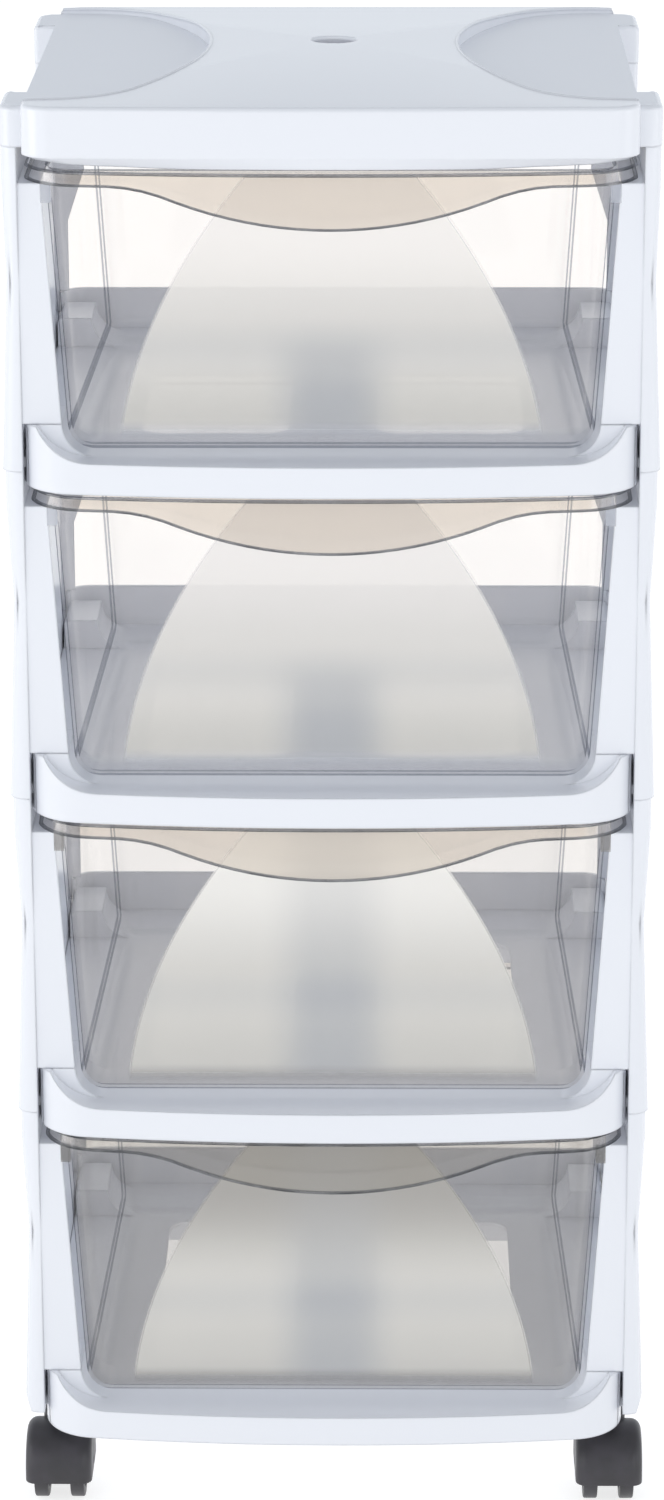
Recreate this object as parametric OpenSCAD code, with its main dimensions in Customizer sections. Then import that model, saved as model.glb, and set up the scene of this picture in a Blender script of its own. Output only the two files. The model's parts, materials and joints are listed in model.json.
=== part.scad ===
// Storage tower: four clear drawers in a white stacking frame on twin-wheel castors.
// Millimetres. +Z is up, Z = 0 is the floor, and the drawers open towards -Y.

/* [Tower] */
// Width across the feet of the side panels
tower_w = 385; // [375:1:400]
// Depth from the faces of the front posts to the backs of the rear posts
frame_d = 335; // [300:1:370]
// Height of a full level, seam to seam
level_h = 201.5; // [190:0.5:230]
// Height of the top level, seam to seam
top_level_h = 191.5; // [185:0.5:220]
// How far the shelves and the lid bow out in front of the posts
front_overhang = 25; // [23:1:32]
// How far the shelves and the lid stand out behind the posts
rear_overhang = 9; // [8:0.5:14]
// Wall of the white mouldings
wall = 2.5; // [2:0.1:3]
// Gap between pieces that sit side by side without touching
fit_gap = 0.3; // [0.2:0.05:0.5]
// Radius of the bow along the front of the shelves, the lid and the drawer rims
bow_r = 1200; // [900:10:2400]

/* [Side panels] */
// Width of a post at its foot, from the bay to the outside
post_w = 12.5; // [11:0.5:15]
// Depth of a post
post_d = 50; // [45:1:60]
// Rounding of the outer front corner of a post
post_r = 10; // [8:0.5:11]
// Rounding of the outer corner that faces the web
post_heel_r = 3; // [2:0.5:6]
// How far the head of a post stands in from its foot
post_head_in = 1.5; // [0.5:0.1:3]
// The same on the top level, which is a little slimmer
top_head_in = 2.9; // [0.5:0.1:3.5]
// How far the waist of a post stands in from its foot
waist_in = 4.5; // [3:0.1:5]
// How far the waist is set back from the front face
waist_set = 2; // [0:0.1:2.2]
// Straight head of a post, below the seam
shoulder_drop = 20; // [16:1:30]
// Height of the waist below the seam
waist_drop = 80; // [60:1:100]
// Solid part at each end of a post
post_end = 22; // [20:1:30]
// How far the bay-side flange of a post is set back
flange_set = 2.5; // [2.2:0.1:4]
// Gap between a drawer's side and the flange beside it
flange_gap = 2.2; // [1.5:0.1:3]
// Height above the bottom of a drawer up to which the rear flange stands aside
rear_jog = 66; // [50:1:75]
// Height of the slope above that, where the rear flange runs in
rear_slope = 34; // [20:1:40]
// Width of the rear flange where it stands aside
rear_flange_w = 6; // [4:0.5:8]
// Depth of the rib under each runner
rib_drop = 20; // [12:1:26]
// Width of the chamfer at the foot of the lowest panel
foot_chamfer_w = 4; // [2:0.5:5]
// Height of that chamfer
foot_chamfer_h = 12; // [8:1:16]
// Diameter of the pegs that join the levels
peg_d = 6; // [5:0.5:6.5]
// Height of a peg above the seam
peg_h = 13; // [11:0.5:16]
// Chamfer at the tip of a peg
peg_tip = 1; // [0.5:0.1:1.5]
// Distance from a post's face to its peg
peg_set = 25; // [18:1:30]
// Distance from the bay to the middle of a peg
peg_out = 4.8; // [4.4:0.1:5]

/* [Shelves] */
// Drop of a shelf's apron below the seam
apron_drop = 9.5; // [8:0.5:10.5]
// Height of a shelf's deck above the seam
deck_rise = 9; // [8:0.5:12]
// Height of the corner ears above the seam
ear_rise = 28; // [24:0.5:32]
// Height of the rear rail above the seam
rail_rise = 35.5; // [32:0.5:45]
// Length of the ears along the posts
ear_d = 50; // [40:1:60]
// Front corner radius of a shelf
shelf_corner_r = 34; // [30:1:44]
// Rear corner radius of the shelves, the lid and the drawer rims
rear_r = 16; // [12:1:20]
// Width of an ear's front at deck level, where its cove starts
ear_foot_w = 40; // [34:1:50]
// Flat width on top of that front, beside the rounded corner
ear_land_w = 4.8; // [3:0.2:8]
// Rounding of an ear's upper outer corner
ear_tip_r = 4; // [2:0.5:6]
// Thickness of the lugs that reach into the posts
lug_t = 6; // [5:0.5:8]
// Width of a lug
lug_w = 26; // [20:1:30]
// Width of the solid bar down the middle of a deck
bar_w = 52; // [40:1:70]
// Width of each window in a deck
window_w = 88; // [70:1:96]
// Distance of the windows from the front and back of the frame
window_set = 58; // [54:1:80]
// Corner radius of the windows
window_r = 14; // [8:1:20]
// Distance from a window's edge to the ribs beside it
rib_set = 6; // [4:0.5:8]
// Thickness of the ribs under the decks and the lid
rib_t = 2; // [1.5:0.1:2.5]

/* [Lid] */
// Height of the lid's front edge above the seam
lid_edge = 26.5; // [25:0.5:32]
// Height of the crown above that edge
crown_h = 7.9; // [6:0.1:10]
// Height of the side scoops and of the post caps above the seam
scoop_floor = 23.5; // [22:0.5:24.5]
// How far the lid's side stands in from the bay's side
lid_side_in = 3.5; // [2.5:0.1:4]
// Front corner radius of the lid
lid_corner_r = 18; // [14:1:26]
// Rounding of the lid's upper edge
lid_edge_r = 2.5; // [1.5:0.1:3]
// How far the chamfer along the bottom of the lid's apron runs in
lid_chamfer_in = 5.5; // [3:0.1:6]
// Height of that chamfer
lid_chamfer_h = 7; // [4:0.1:8]
// Rounding round the tops of the post caps
cap_edge_r = 3; // [2:0.1:4]
// How far a cap stands out past the head of its post
cap_lap = 0.4; // [0.2:0.1:0.8]
// Half width of the crown between the tips of the two scoops
scoop_tip = 74; // [66:1:84]
// Half length of a scoop
scoop_half_d = 165; // [150:1:166]
// Radius of the long arc of a scoop
scoop_arc_r = 269; // [240:1:300]
// Radius of a scoop's ends
scoop_end_r = 55; // [40:1:60]
// Diameter of the finger hole in the lid
lid_hole_d = 27; // [22:0.5:32]
// Rounding of the finger hole's rim
lid_hole_r = 1.5; // [1:0.1:2]

/* [Drawers] */
// Drop of a drawer's rim below the seam above it
rim_drop = 12; // [11.5:0.1:14]
// Height of a drawer's bottom above the seam below it
drawer_lift = 15.8; // [13:0.1:18]
// Distance from the bay's side to a drawer's side, just under its rim
drawer_in = 15; // [13:0.5:20]
// How much narrower a drawer is at its bottom
drawer_taper = 22; // [16:1:26]
// How much narrower a drawer is at its back
drawer_rear_taper = 16; // [0:1:20]
// Distance from a drawer's back to the back of the frame
drawer_back_set = 33; // [30:1:60]
// How much further in the back wall's foot stands
drawer_back_rake = 5; // [0:0.5:10]
// How far the front wall stands in front of the posts at the rim
drawer_front_out = 4; // [2:0.5:6]
// How much further back the front wall's foot stands
drawer_front_rake = 4; // [0:0.5:6]
// Wall of a drawer
drawer_wall = 2.2; // [1.8:0.1:2.6]
// Radius of the edge round a drawer's bottom
drawer_edge_r = 15; // [12:0.5:18]
// Radius of a drawer's upright corners
drawer_corner_r = 16; // [12:0.5:20]
// Gap between the rim and the posts on each side
rim_gap = 2.5; // [1.5:0.1:3]
// Front corner radius of the rim
rim_corner_r = 36; // [30:1:46]
// Height of the skirt along the rim
rim_skirt = 9; // [8:0.1:10]
// How far the lip stands in front of the posts
lip_out = 20; // [18:0.5:22]
// Depth of the lip at its middle
lip_middle = 33; // [24:0.5:40]
// Radius of the arc under the middle of the lip
lip_middle_r = 260; // [220:1:300]
// Radius of the arcs where the lip runs out
lip_run_r = 100; // [80:1:120]
// How far the rim reaches behind the back wall
rim_back_out = 7; // [4:0.5:10]
// Depth of the closing stops under the rim
stop_drop = 20.5; // [14:0.5:24]
// Width of a closing stop
stop_w = 8.5; // [6:0.5:10]

/* [Castors] */
// Diameter of the wheels
wheel_d = 46; // [44:1:50]
// Width of a wheel's tread
tread_w = 8.7; // [8:0.1:9]
// Depth of a wheel's tread
tread_h = 6; // [4:0.5:8]
// Rounding of the tread's edges
tread_edge_r = 1; // [0.5:0.1:1.5]
// Thickness of the web between the tread and the hub
wheel_web = 4; // [3:0.2:6]
// Width of a wheel's hub
hub_w = 11.3; // [10:0.1:11.3]
// Diameter of a wheel's hub
hub_d = 15; // [12:0.5:18]
// Diameter of the axles
axle_d = 5; // [4:0.5:6]
// How far the ends of an axle stand in from the hood's faces
axle_in = 0.5; // [0.2:0.1:1]
// Distance from the swivel axis back to the axle
trail = 12; // [10:0.5:16]
// Width of a castor's hood
hood_w = 41.5; // [40:0.5:44]
// Half width of the web between a pair of wheels
hood_web = 6.3; // [6.1:0.1:7]
// Wall of the hood round the wheels
hood_wall = 2.5; // [2:0.1:3]
// Gap round the wheels inside the hood
wheel_gap = 1.5; // [1:0.1:2.5]
// How far the hood reaches down past the middle of the axle
hood_drop = 4; // [3.8:0.1:10]
// Rounding of the hood's shoulders
shoulder_r = 8; // [6:0.5:9]
// Rounding of the hood's lower corners
hood_foot_r = 4; // [2:0.5:6]
// Diameter of the hood's neck
neck_d = 22; // [18:1:24]
// Height of the neck above the hood's round
neck_h = 3.5; // [2:0.1:4]
// Diameter of the swivel stems
stem_d = 8; // [7:0.5:9]
// Length of a stem inside the base
stem_grip = 30; // [24:1:32]
// Diameter of the collar on a stem
collar_d = 13; // [11:0.5:14]
// Thickness of that collar
collar_t = 1.5; // [1:0.1:2.5]
// Distance from the bay's side to a swivel axis
castor_in = 8; // [7.5:0.1:10]
// Distance from the frame's front or back to a swivel axis
castor_set = 32; // [28:1:36]
// Radial running clearance of the axles and stems
run_gap = 0.05; // [0.02:0.01:0.08]
// Radial clearance of a stem in its socket, and of a peg or an axle in what holds it
seat_gap = 0.1; // [0.02:0.01:0.15]

/* [Hidden] */

$fn = 96;
levels = 4;
cut = 1;
join = 0.5;
white_plastic = [0.93, 0.94, 0.97];
clear_plastic = [0.82, 0.82, 0.80, 0.5];
black_plastic = [0.14, 0.14, 0.15];
zinc_steel = [0.72, 0.73, 0.75];

bay_half = tower_w / 2 - post_w;
total_d = front_overhang + frame_d + rear_overhang;
front_y = front_overhang - total_d / 2;
rear_y = front_y + frame_d;
mid_y = (front_y + rear_y) / 2;
apron_y = front_y - front_overhang;
back_y = rear_y + rear_overhang;
shelf_half = bay_half - fit_gap;
recess_foot = bay_half - ear_foot_w;
recess_head = bay_half - ear_tip_r - ear_land_w;
recess_h = ear_rise - deck_rise;
peg_x = bay_half + peg_out;
peg_ys = [front_y + peg_set, rear_y - peg_set];

wheel_r = wheel_d / 2;
hood_r = wheel_r + wheel_gap + hood_wall;
hood_lift = wheel_r - hood_drop;
hood_top = wheel_r + hood_r + neck_h;
castor_h = hood_top + fit_gap + collar_t;
base_h = castor_h + apron_drop;
castor_x = bay_half - castor_in;
well_w = hood_w / 2 - hood_wall - hood_web;
hub_x = hood_web + fit_gap;
tread_x = hub_x + fit_gap;
socket_z = wheel_r + axle_d;

runner_drop = rim_drop + rim_skirt + fit_gap;
rim_half = bay_half - rim_gap;
drawer_top_w = 2 * (bay_half - drawer_in);
drawer_back_y = rear_y - drawer_back_set;
drawer_front_y = front_y - drawer_front_out;
ear_in = drawer_half(level_h - ear_rise, levels) + flange_gap;
lip_y = front_y - lip_out;
rim_back_y = drawer_back_y + rim_back_out;
lip_dip = lip_middle - rim_skirt;
lip_rr = lip_middle_r + lip_run_r;
lip_run_x = sqrt(lip_rr * lip_rr - (lip_rr - lip_dip) * (lip_rr - lip_dip));
lip_lean = asin(lip_run_x / lip_rr);

// Height of seam i: 0 is under the lid and 4 is on the base
function seam(i) = base_h + (levels - max(i, 1)) * level_h + (i == 0 ? top_level_h : 0);
function level_height(level) = seam(level - 1) - seam(level);
function castor_y(end) = end < 0 ? front_y + castor_set : rear_y - castor_set;
function mix(a, b, t) = a + (b - a) * t;

// Share of the way from a drawer's rim down to its bottom, at a drop below the seam above
function drawer_share(drop, level) =
  (drop - rim_drop) / (level_height(level) - rim_drop - drawer_lift);
// Half width of a drawer's front at that drop
function drawer_half(drop, level) = (drawer_top_w - drawer_taper * drawer_share(drop, level)) / 2;

function arc(x, y, r, from, to, steps) =
  [for (i = [0 : steps]) let (a = mix(from, to, i / steps)) [x + r * cos(a), y + r * sin(a)]];
function without_ends(points) = [for (i = [1 : len(points) - 2]) points[i]];

// Height of a corner circle's centre above the front of a bowed outline
function bow_corner_y(half, front, r, bow) =
  front + bow - sqrt((bow - r) * (bow - r) - (half - r) * (half - r));

// Bowed outline as one ring of points, the same number of them for any size
function bow_ring(half, front, back, r, rear, bow) =
  let (cy = bow_corner_y(half, front, r, bow), lean = asin((half - r) / (bow - r)))
  concat(
    arc(half - rear, back - rear, rear, 0, 90, 6),
    arc(rear - half, back - rear, rear, 90, 180, 6),
    arc(r - half, cy, r, 180, 270 - lean, 8),
    without_ends(arc(0, front + bow, bow, 270 - lean, 270 + lean, 16)),
    arc(half - r, cy, r, 270 + lean, 360, 8)
  );

function raise(ring, z) = [for (p = ring) [p[0], p[1], z]];

// Solid through a stack of rings, from the lowest to the highest
module loft(rings) {
  n = len(rings[0]);
  last = len(rings) - 1;
  sides = [for (j = [0 : last - 1], i = [0 : n - 1])
    let (k = (i + 1) % n, a = j * n + i, b = j * n + k)
    each [[a, a + n, b], [b, a + n, b + n]]];
  foot = [for (i = [0 : n - 1]) i];
  head = [for (i = [n - 1 : -1 : 0]) last * n + i];
  polyhedron(points = [for (r = rings) each r], faces = concat(sides, [foot, head]), convexity = 6);
}

// Bowed outline with true arcs
module bow_outline(half, front, back, r, rear, bow) {
  cy = bow_corner_y(half, front, r, bow);
  touch_x = (half - r) * bow / (bow - r);
  intersection() {
    translate([0, front + bow]) circle(r = bow, $fn = 720);
    union() {
      translate([-touch_x, front]) square([2 * touch_x, cy + join - front]);
      for (s = [-1, 1]) translate([s * (half - r), cy]) circle(r = r);
      translate([-half, cy]) square([2 * half, back - rear - cy]);
      translate([rear - half, cy]) square([2 * (half - rear), back - cy]);
      for (s = [-1, 1]) translate([s * (half - rear), back - rear]) circle(r = rear);
    }
  }
}

// Places its children at both ends of the frame, mirrored about its middle
module both_ends() {
  children();
  translate([0, 2 * mid_y, 0]) mirror([0, 1, 0]) children();
}

module both_sides() {
  children();
  mirror([1, 0, 0]) children();
}

// Stands an outline drawn in X and Z on edge, from y back by depth
module upright(y, depth) {
  translate([0, y + depth, 0]) rotate([90, 0, 0]) linear_extrude(depth) children();
}

// ---------------------------------------------------------------- side panels

// Outline of the right front post, from the bay outwards
function post_ring(in, set) =
  let (x = tower_w / 2 - in, y = front_y + set, heel_y = front_y + post_d - post_heel_r)
  let (lean = acos(max(-1, min(1, (bay_half - (x - post_r)) / post_r))))
  concat(
    [[bay_half, front_y + post_d]],
    arc(x - post_r, y + post_r, post_r, -lean, 0, 7),
    arc(x - post_heel_r, heel_y, post_heel_r, 0, 90, 3)
  );

module post(level) {
  top = seam(level - 1);
  bottom = seam(level);
  head_in = level == 1 ? top_head_in : post_head_in;
  loft([
    raise(post_ring(0, 0), bottom),
    raise(post_ring(waist_in, waist_set), top - waist_drop),
    raise(post_ring(head_in, 0), top - shoulder_drop),
    raise(post_ring(head_in, 0), top)
  ]);
}

// Space inside a post, open towards the bay
module post_pocket(level) {
  bottom = seam(level) + post_end;
  height = seam(level - 1) - post_end - bottom;
  translate([bay_half - cut, front_y + flange_set + wall, bottom])
    cube([cut + post_w - waist_in - wall, post_d - flange_set - 2 * wall, height]);
}

// Flange beside the drawer's front, with the taper of the drawer
module front_flange(level) {
  top = seam(level - 1);
  foot = seam(level) + ear_rise + fit_gap;
  upright(front_y + flange_set, wall) polygon([
    [bay_half + join, foot],
    [bay_half + join, top - runner_drop],
    [drawer_half(runner_drop, level) + flange_gap, top - runner_drop],
    [drawer_half(top - foot, level) + flange_gap, foot]
  ]);
}

// Rear flange, which widens the bay in its lower half
module rear_flange(level) {
  top = seam(level - 1);
  foot = seam(level) + rail_rise + fit_gap;
  jog = seam(level) + drawer_lift + rear_jog;
  slope_top = jog + rear_slope;
  upright(rear_y - flange_set - wall, wall) polygon([
    [bay_half + join, foot],
    [bay_half + join, top - runner_drop],
    [drawer_half(runner_drop, level) + flange_gap, top - runner_drop],
    [drawer_half(top - slope_top, level) + flange_gap, slope_top],
    [bay_half - rear_flange_w, jog],
    [bay_half - rear_flange_w, foot]
  ]);
}

// Runner that carries the drawer's rim, with ribs under it
module runner(level) {
  top = seam(level - 1) - runner_drop;
  inner = drawer_half(runner_drop, level) + flange_gap;
  rib_ys = [for (i = [1 : 5]) mix(front_y, rear_y, i / 6)];
  translate([inner, front_y + flange_set, top - wall])
    cube([bay_half + join - inner, frame_d - 2 * flange_set, wall]);
  for (y = rib_ys) upright(y - rib_t / 2, rib_t) polygon([
    [bay_half + join, top - wall + join],
    [inner + wall, top - wall + join],
    [inner + wall, top - wall - rib_t],
    [bay_half + join, top - rib_drop]
  ]);
}

// Peg with a chamfered tip
module peg(h) {
  cylinder(d = peg_d, h = h - peg_tip);
  translate([0, 0, h - peg_tip]) cylinder(d1 = peg_d, d2 = peg_d - 2 * peg_tip, h = peg_tip);
}

module side_panel(level, side) {
  top = seam(level - 1);
  bottom = seam(level);
  color(white_plastic) mirror([side < 0 ? 1 : 0, 0, 0]) difference() {
    union() {
      both_ends() difference() {
        post(level);
        post_pocket(level);
      }
      translate([bay_half, front_y + post_d - join, bottom])
        cube([wall, frame_d - 2 * post_d + 2 * join, top - bottom]);
      front_flange(level);
      rear_flange(level);
      runner(level);
      for (y = peg_ys) translate([peg_x, y, top - join]) peg(peg_h + join);
    }
    for (y = peg_ys) {
      translate([bay_half - cut, y - lug_w / 2 - fit_gap, bottom - cut])
        cube([cut + 2 * peg_out, lug_w + 2 * fit_gap, cut + lug_t + fit_gap]);
      translate([peg_x, y, bottom]) cylinder(d = peg_d + 2 * seat_gap, h = peg_h + cut);
    }
    if (level == levels) upright(front_y - cut, frame_d + 2 * cut) polygon([
      [tower_w / 2 - foot_chamfer_w, bottom - cut],
      [tower_w / 2 - foot_chamfer_w, bottom],
      [tower_w / 2, bottom + foot_chamfer_h],
      [tower_w / 2 + cut, bottom + foot_chamfer_h],
      [tower_w / 2 + cut, bottom - cut]
    ]);
  }
}

// -------------------------------------------------------------------- shelves

// Plan of a shelf, drawn in from its outline by a wall
module shelf_plan(in) {
  bow_outline(shelf_half - in, apron_y + in, back_y - in, shelf_corner_r - in, rear_r - in, bow_r - in);
}

// Recess between the ears, with coved ends that rise from foot to head
module recess_section(foot, head) {
  cove_r = ((head - foot) * (head - foot) + recess_h * recess_h) / (2 * recess_h);
  translate([-foot, deck_rise]) square([2 * foot, recess_h + cut]);
  intersection() {
    translate([-head, deck_rise]) square([2 * head, recess_h + cut]);
    union() for (s = [-1, 1]) translate([s * foot, deck_rise + cove_r]) circle(r = cove_r);
  }
}

// Section of the ears: square at the deck and rounded at the upper outer corner
module ear_section() {
  tip = shelf_half - 1;
  translate([-tip, 0]) square([2 * tip, ear_rise - ear_tip_r]);
  translate([ear_tip_r - tip, 0]) square([2 * (tip - ear_tip_r), ear_rise]);
  for (s = [-1, 1]) translate([s * (tip - ear_tip_r), ear_rise - ear_tip_r]) circle(r = ear_tip_r);
}

// Ears at the four corners, and the coved front between them
module ears() {
  recess_y = front_y + flange_set;
  difference() {
    intersection() {
      linear_extrude(ear_rise + cut) shelf_plan(0);
      upright(apron_y - cut, total_d + 2 * cut) ear_section();
      union() {
        translate([-bay_half, apron_y, 0]) cube([2 * bay_half, front_overhang + ear_d, ear_rise + cut]);
        translate([-bay_half, rear_y - ear_d, 0]) cube([2 * bay_half, ear_d - flange_set, ear_rise + cut]);
      }
    }
    upright(apron_y - cut, recess_y - apron_y + cut) recess_section(recess_foot, recess_head);
    upright(recess_y - join, total_d) recess_section(recess_foot - wall, ear_in);
  }
}

// Space inside each ear, open below
module ear_hollows() {
  hollow_w = shelf_half - wall - ear_in - 2 * wall;
  both_sides() both_ends()
    translate([ear_in + 2 * wall, front_y + flange_set + wall, -apron_drop - cut])
      cube([hollow_w, ear_d - flange_set - 2 * wall, apron_drop + cut + ear_rise - wall]);
}

module shelf_ribs() {
  rib_foot = wall - apron_drop;
  rib_h = deck_rise - rib_foot - join;
  window_x = bar_w / 2 + window_w;
  for (x = [-window_x - rib_set, rib_set - bar_w / 2, bar_w / 2 - rib_set, window_x + rib_set])
    translate([x - rib_t / 2, apron_y + 2 * wall, rib_foot]) cube([rib_t, total_d - 4 * wall, rib_h]);
  for (y = [front_y + window_set - rib_set, rear_y - window_set + rib_set])
    translate([wall - shelf_half, y - rib_t / 2, rib_foot]) cube([2 * (shelf_half - wall), rib_t, rib_h]);
}

module deck_windows() {
  window_d = frame_d - 2 * window_set;
  for (s = [-1, 1]) translate([s * (bar_w + window_w) / 2, mid_y]) intersection() {
    square([window_w, window_d], center = true);
    union() {
      square([window_w - 2 * window_r, frame_d], center = true);
      square([window_w, window_d - 2 * window_r], center = true);
      for (x = [-1, 1], y = [-1, 1])
        translate([x * (window_w / 2 - window_r), y * (window_d / 2 - window_r)]) circle(r = window_r);
    }
  }
}

// Shelf with its seam at z = 0, before what is particular to it
module shelf_body() {
  difference() {
    union() {
      translate([0, 0, -apron_drop]) linear_extrude(apron_drop + deck_rise) shelf_plan(0);
      ears();
    }
    translate([0, 0, -apron_drop - cut]) linear_extrude(apron_drop + cut + deck_rise - wall) shelf_plan(wall);
    linear_extrude(deck_rise + cut) deck_windows();
    ear_hollows();
  }
  shelf_ribs();
  // Rear rail
  intersection() {
    linear_extrude(rail_rise) difference() {
      shelf_plan(0);
      shelf_plan(wall);
    }
    translate([-bay_half, back_y - rear_r, 0]) cube([2 * bay_half, rear_r, rail_rise]);
  }
  both_sides() for (y = peg_ys) translate([shelf_half - wall, y - lug_w / 2, 0])
    cube([wall + fit_gap + 2 * peg_out - 2 * fit_gap, lug_w, lug_t]);
}

module shelf(number) {
  color(white_plastic) translate([0, 0, seam(number)]) difference() {
    shelf_body();
    both_sides() for (y = peg_ys) translate([peg_x, y, -cut])
      cylinder(d = peg_d + 2 * seat_gap, h = lug_t + 2 * cut);
  }
}

// The lowest shelf carries the pegs for the first side panels and the sockets of the castors
module base_shelf() {
  boss_r = castor_in - wall / 2;
  color(white_plastic) translate([0, 0, seam(levels)]) difference() {
    union() {
      shelf_body();
      both_sides() for (y = peg_ys) translate([peg_x, y, lug_t - join]) peg(peg_h + join - lug_t);
      both_sides() for (end = [-1, 1]) translate([castor_x, castor_y(end), -apron_drop])
        cylinder(r = boss_r, h = apron_drop + ear_rise - wall / 2);
    }
    both_sides() for (end = [-1, 1]) translate([castor_x, castor_y(end), -apron_drop - cut])
      cylinder(d = stem_d + 2 * seat_gap, h = cut + stem_grip + fit_gap);
  }
}

// ------------------------------------------------------------------------ lid

// Height of the crowned top above the seam
function crown_z(p) =
  let (u = p[0] / bay_half, v = p[1] / (total_d / 2)) lid_edge + crown_h * (1 - u * u) * (1 - v * v);

function lid_ring(in) =
  bow_ring(bay_half - lid_side_in - in, apron_y + in, back_y - in, lid_corner_r - in, rear_r - in, 3 * bow_r);
// Ring round the foot of the lid's chamfer, with wider corners and the bow of the shelves
function foot_ring() =
  let (in = lid_chamfer_in)
  bow_ring(bay_half - lid_side_in - in, apron_y + in, back_y - in, 2 * lid_corner_r, rear_r, bow_r);
function crown_ring(ring, share, drop) =
  [for (p = ring) let (q = [p[0] * share, p[1] * share]) [q[0], q[1], crown_z(q) - drop]];
shares = [for (i = [0 : 9]) 1 - 0.1 * i];

module lid_shell() {
  top_ring = lid_ring(lid_edge_r);
  difference() {
    loft(concat(
      [raise(foot_ring(), -apron_drop), raise(lid_ring(0), lid_chamfer_h - apron_drop)],
      [for (a = [0 : 30 : 60])
        raise(lid_ring(lid_edge_r * (1 - cos(a))), lid_edge - lid_edge_r * (1 - sin(a)))],
      [for (s = shares) crown_ring(top_ring, s, 0)]
    ));
    // The lid is hollow from below, with its floor kept under the scoops
    difference() {
      loft(concat(
        [raise(lid_ring(lid_chamfer_in + wall), -apron_drop - cut)],
        [for (s = shares) crown_ring(lid_ring(lid_chamfer_in + wall), s, wall)]
      ));
      translate([0, 0, scoop_floor - wall]) linear_extrude(crown_h + lid_edge) scoops(wall);
      lid_ribs();
    }
  }
}

// Ribs left standing in the lid's hollow
module lid_ribs() {
  for (s = [-1, 1]) {
    translate([-bay_half, mid_y + s * scoop_half_d / 2 - rib_t / 2, 0])
      cube([2 * bay_half, rib_t, 2 * lid_edge]);
    translate([s * scoop_tip / 2 - rib_t / 2, apron_y, 0]) cube([rib_t, total_d, 2 * lid_edge]);
  }
}

// Plan of both side scoops, grown by a wall
module scoops(grow) {
  arc_x = scoop_tip + scoop_arc_r;
  end_y = scoop_half_d - scoop_end_r;
  end_x = arc_x - sqrt((scoop_arc_r - scoop_end_r) * (scoop_arc_r - scoop_end_r) - end_y * end_y);
  touch_y = end_y * scoop_arc_r / (scoop_arc_r - scoop_end_r);
  both_sides() translate([0, mid_y]) intersection() {
    translate([arc_x, 0]) circle(r = scoop_arc_r + grow, $fn = 360);
    union() {
      translate([scoop_tip - grow, -touch_y]) square([end_x - scoop_tip + grow, 2 * touch_y]);
      for (s = [-1, 1]) translate([end_x, s * end_y]) circle(r = scoop_end_r + grow);
      translate([end_x, -scoop_half_d - grow]) square([bay_half, 2 * (scoop_half_d + grow)]);
    }
  }
}

// Cap over a post, which carries the lid on the post's peg
module post_cap() {
  loft(concat(
    [raise(cap_ring(0), 0)],
    [for (a = [0 : 30 : 90])
      raise(cap_ring(cap_edge_r * (1 - cos(a))), scoop_floor - cap_edge_r * (1 - sin(a)))]
  ));
}

// A cap's outline: the post's head, drawn in on the outside and run inwards into the lid
function cap_ring(in) =
  let (ring = post_ring(top_head_in - cap_lap + in, in), inner = bay_half - 2 * lid_side_in)
  [for (p = ring) [p[0] <= bay_half ? inner : p[0], p[1] >= front_y + post_d ? p[1] - in : p[1]]];

module lid_hole() {
  rim_z = crown_z([0, mid_y]);
  translate([0, mid_y, 0]) {
    cylinder(d = lid_hole_d, h = rim_z + cut);
    translate([0, 0, rim_z - lid_hole_r]) rotate_extrude() difference() {
      square([lid_hole_d / 2 + lid_hole_r, lid_hole_r + cut]);
      translate([lid_hole_d / 2 + lid_hole_r, 0]) circle(r = lid_hole_r);
    }
  }
}

module lid() {
  color(white_plastic) translate([0, 0, seam(0)]) difference() {
    union() {
      lid_shell();
      both_sides() both_ends() post_cap();
    }
    translate([0, 0, scoop_floor]) linear_extrude(crown_h + lid_edge) scoops(0);
    lid_hole();
    both_sides() for (y = peg_ys) translate([peg_x, y, -cut])
      cylinder(d = peg_d + 2 * seat_gap, h = peg_h + 2 * cut);
  }
}

// -------------------------------------------------------------------- drawers

// Section of a drawer at height z, drawn in by a wall
function drawer_ring(level, z, in) =
  let (
    t = drawer_share(seam(level - 1) - z, level),
    front_half = (drawer_top_w - drawer_taper * t) / 2 - in,
    rear_half = front_half - drawer_rear_taper / 2,
    front = drawer_front_y + drawer_front_rake * t + in,
    back = drawer_back_y - drawer_back_rake * t - in,
    r = max(drawer_corner_r - in, 1)
  )
  raise(concat(
    arc(rear_half - r, back - r, r, 0, 90, 6),
    arc(r - rear_half, back - r, r, 90, 180, 6),
    arc(r - front_half, front + r, r, 180, 270, 6),
    arc(front_half - r, front + r, r, 270, 360, 6)
  ), z);

// Body of a drawer with a round edge at its bottom: in draws it in, top is where it ends
module drawer_form(level, in, top) {
  edge_r = drawer_edge_r - in;
  bottom = seam(level) + drawer_lift + in;
  loft(concat(
    [for (a = [0 : 15 : 90])
      drawer_ring(level, bottom + edge_r * (1 - cos(a)), in + edge_r * (1 - sin(a)))],
    [drawer_ring(level, top, in)]
  ));
}

module rim_plan(in) {
  bow_outline(rim_half - in, lip_y + in, rim_back_y - in, rim_corner_r - in, rear_r - in, bow_r - in);
}

// Front view of the lip under the skirt: a deep middle arc that runs out in an arc on each side
module lip_section() {
  polygon(concat(
    [[lip_run_x, join - rim_skirt], [-lip_run_x, join - rim_skirt]],
    arc(-lip_run_x, -rim_skirt - lip_run_r, lip_run_r, 90, 90 - lip_lean, 6),
    arc(0, lip_middle_r - lip_middle, lip_middle_r, 270 - lip_lean, 270 + lip_lean, 24),
    arc(lip_run_x, -rim_skirt - lip_run_r, lip_run_r, 90 + lip_lean, 90, 6)
  ));
}

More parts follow.
